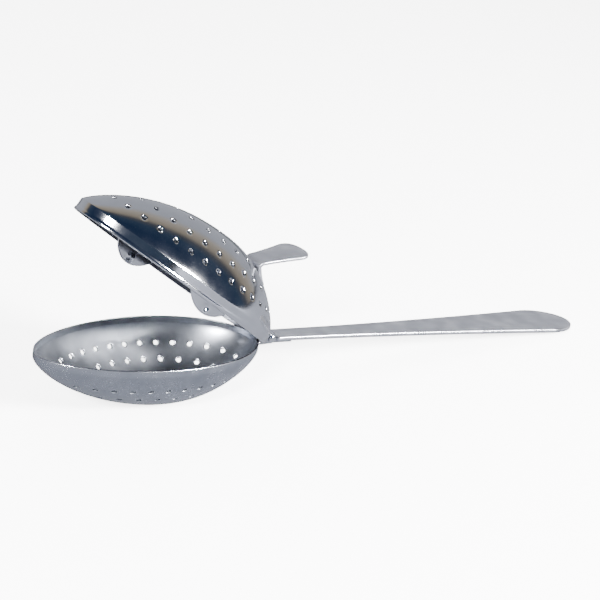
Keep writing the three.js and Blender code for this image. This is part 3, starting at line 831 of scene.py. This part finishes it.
def makeSteel(finish):
    material = bpy.data.materials.new(finish["name"])
    material.use_nodes = True
    tree = material.node_tree
    shader = tree.nodes["Principled BSDF"]
    shader.inputs["Metallic"].default_value = 1
    grain = tree.nodes.new("ShaderNodeGroup")
    grain.node_tree = grainGroup
    wear = tree.nodes.new("ShaderNodeGroup")
    wear.node_tree = wearAndShadeGroup
    mask = wear.outputs["Mask"]
    base = mixColour(tree, grain.outputs["Cloud"], finish["dark"], finish["light"])
    polishedColour = mixColour(tree, mask, base, finish["worn"])
    # Painted shade: the colour is mixed towards the near-black shade colour on hole walls and inner
    # faces.
    tree.links.new(mixColour(tree, wear.outputs["PaintedShadeMask"], polishedColour, finish["paintedShadeColour"]),
                   shader.inputs["Base Color"])
    rough = ranged(tree, grain.outputs["Cloud"], 0, 1, finish["smooth"], finish["rough"])
    hairlines = combine(tree, "MULTIPLY", grain.outputs["Hairlines"], hairlineRough)
    scored = combine(tree, "ADD", rough, hairlines)
    polished = combine(tree, "MULTIPLY", mask, finish["rough"] - finish["wornRough"])
    dulled = combine(tree, "ADD", scored,
                     combine(tree, "MULTIPLY", wear.outputs["PaintedShadeMask"], paintedShadeRough))
    tree.links.new(combine(tree, "SUBTRACT", dulled, polished), shader.inputs["Roughness"])
    bump = tree.nodes.new("ShaderNodeBump")
    bump.inputs["Strength"].default_value = finish["bump"]
    bump.inputs["Distance"].default_value = bumpDistance
    tree.links.new(grain.outputs["Height"], bump.inputs["Height"])
    tree.links.new(bump.outputs["Normal"], shader.inputs["Normal"])
    return material


satin = makeSteel(satinSteel)
bright = makeSteel(brightSteel)
strap = makeSteel(handleSteel)
print("finishes made")

makeBowl(satin)
makeLid(bright)
makeTail(bright)
makeHandle(strap)
makeTab(strap)
makeBracket(satin)
makePin(bright)
makeClip("clipLeft", "clip_left", 1, bright)
makeClip("clipRight", "clip_right", -1, bright)
print("pieces made")


studio = {
    "floorSize": 6.0, "floorSeen": (0.97, 0.97, 0.97), "floorMirrored": (0.10, 0.104, 0.116),
    "ambient": 1.0,
    # the axis of the bands that the steel mirrors, as parts to the view's right, onward and up, and
    # the bands' colours by how far a direction leans along it, from -1 to 1 as 0 to 1
    "bandAxis": (-0.415, 0.897, -0.151),
    "bands": (
        (0.0, (0.05, 0.075, 0.12)), (0.06, (0.012, 0.03, 0.075)), (0.40, (0.012, 0.03, 0.075)),
        (0.50, (0.03, 0.055, 0.10)), (0.55, (0.08, 0.085, 0.10)), (0.595, (0.36, 0.31, 0.24)),
        (0.67, (0.50, 0.45, 0.375)), (0.73, (0.50, 0.52, 0.57)), (1.0, (0.56, 0.585, 0.65)),
    ),
    "cameraWhite": 6.0, "floorGlow": 4.0, "floorDrop": 0.0002,
}

# Each light: place, aim, size and power, in metres and watts. A hidden one isn't mirrored.
lights = {
    "sideWindow": {"at": (0.30, -0.50, 0.25), "aim": (-0.05, 0, 0.025), "size": (0.20, 0.11),
                   "watts": 34},
    "backWindow": {"at": (-0.60, -0.42, 0.42), "aim": (-0.04, 0, 0.01), "size": (0.16, 0.12),
                   "watts": 26},
    "overhead": {"at": (0.15, 0.55, 0.75), "aim": (0, 0, 0), "size": (0.9, 0.5), "watts": 8,
                 "hidden": True},
}


def makeFloor():
    mesh = bpy.data.meshes.new("floor")
    side = studio["floorSize"] / 2
    corners = [(-side, -side, 0), (side, -side, 0), (side, side, 0), (-side, side, 0)]
    mesh.from_pydata(corners, [], [(0, 1, 2, 3)])
    floor = bpy.data.objects.new("floor", mesh)
    floor.location.z = -studio["floorDrop"]
    bpy.context.scene.collection.objects.link(floor)
    material = bpy.data.materials.new("floorPale")
    material.use_nodes = True
    tree = material.node_tree
    tree.nodes.clear()
    out = tree.nodes.new("ShaderNodeOutputMaterial")
    path = tree.nodes.new("ShaderNodeLightPath")
    seen = tree.nodes.new("ShaderNodeBsdfDiffuse")
    seen.inputs["Color"].default_value = (*studio["floorSeen"], 1)
    glow = tree.nodes.new("ShaderNodeEmission")
    glow.inputs["Strength"].default_value = studio["floorGlow"]
    pale = tree.nodes.new("ShaderNodeAddShader")
    tree.links.new(seen.outputs[0], pale.inputs[0])
    tree.links.new(glow.outputs[0], pale.inputs[1])
    mirrored = tree.nodes.new("ShaderNodeBsdfDiffuse")
    mirrored.inputs["Color"].default_value = (*studio["floorMirrored"], 1)
    mix = tree.nodes.new("ShaderNodeMixShader")
    tree.links.new(path.outputs["Is Camera Ray"], mix.inputs[0])
    tree.links.new(mirrored.outputs[0], mix.inputs[1])
    tree.links.new(pale.outputs[0], mix.inputs[2])
    tree.links.new(mix.outputs[0], out.inputs["Surface"])
    mesh.materials.append(material)


# White to the camera and to diffuse light. To the steel it is a set of soft bands, as dark and warm
# cards round the table would give.
def makeWorld():
    world = bpy.data.worlds.new("studio")
    bpy.context.scene.world = world
    world.use_nodes = True
    tree = world.node_tree
    tree.nodes.clear()
    out = tree.nodes.new("ShaderNodeOutputWorld")
    direction = tree.nodes.new("ShaderNodeTexCoord").outputs["Generated"]
    a = math.radians(view["azimuth"])
    toRight, toward, upward = studio["bandAxis"]
    lean = tree.nodes.new("ShaderNodeVectorMath")
    lean.operation = "DOT_PRODUCT"
    lean.inputs[1].default_value = (toRight * math.cos(a) + toward * math.sin(a),
                                    toward * math.cos(a) - toRight * math.sin(a), upward)
    tree.links.new(direction, lean.inputs[0])
    ramp = tree.nodes.new("ShaderNodeValToRGB")
    for index, (place, colour) in enumerate(studio["bands"]):
        stops = ramp.color_ramp.elements
        stop = stops[index] if index < 2 else stops.new(place)
        stop.position = place
        stop.color = (*colour, 1)
    tree.links.new(ranged(tree, lean.outputs["Value"], -1, 1), ramp.inputs["Fac"])
    path = tree.nodes.new("ShaderNodeLightPath")
    bands = tree.nodes.new("ShaderNodeBackground")
    tree.links.new(ramp.outputs["Color"], bands.inputs["Color"])
    white = tree.nodes.new("ShaderNodeBackground")
    white.inputs["Strength"].default_value = studio["ambient"]
    seen = tree.nodes.new("ShaderNodeBackground")
    seen.inputs["Strength"].default_value = studio["cameraWhite"]
    mix = tree.nodes.new("ShaderNodeMixShader")
    tree.links.new(path.outputs["Is Glossy Ray"], mix.inputs[0])
    tree.links.new(white.outputs[0], mix.inputs[1])
    tree.links.new(bands.outputs[0], mix.inputs[2])
    whole = tree.nodes.new("ShaderNodeMixShader")
    tree.links.new(path.outputs["Is Camera Ray"], whole.inputs[0])
    tree.links.new(mix.outputs[0], whole.inputs[1])
    tree.links.new(seen.outputs[0], whole.inputs[2])
    tree.links.new(whole.outputs[0], out.inputs["Surface"])


def makeLights():
    for name, light in lights.items():
        data = bpy.data.lights.new(name, "AREA")
        data.shape = "RECTANGLE"
        data.size, data.size_y = light["size"]
        data.energy = light["watts"]
        lamp = bpy.data.objects.new(name, data)
        lamp.visible_glossy = not light.get("hidden", False)
        lamp.location = light["at"]
        aim = Vector(light["aim"]) - Vector(light["at"])
        lamp.rotation_euler = aim.to_track_quat("-Z", "Y").to_euler()
        bpy.context.scene.collection.objects.link(lamp)


makeFloor()
makeWorld()
makeLights()
print("studio lit")
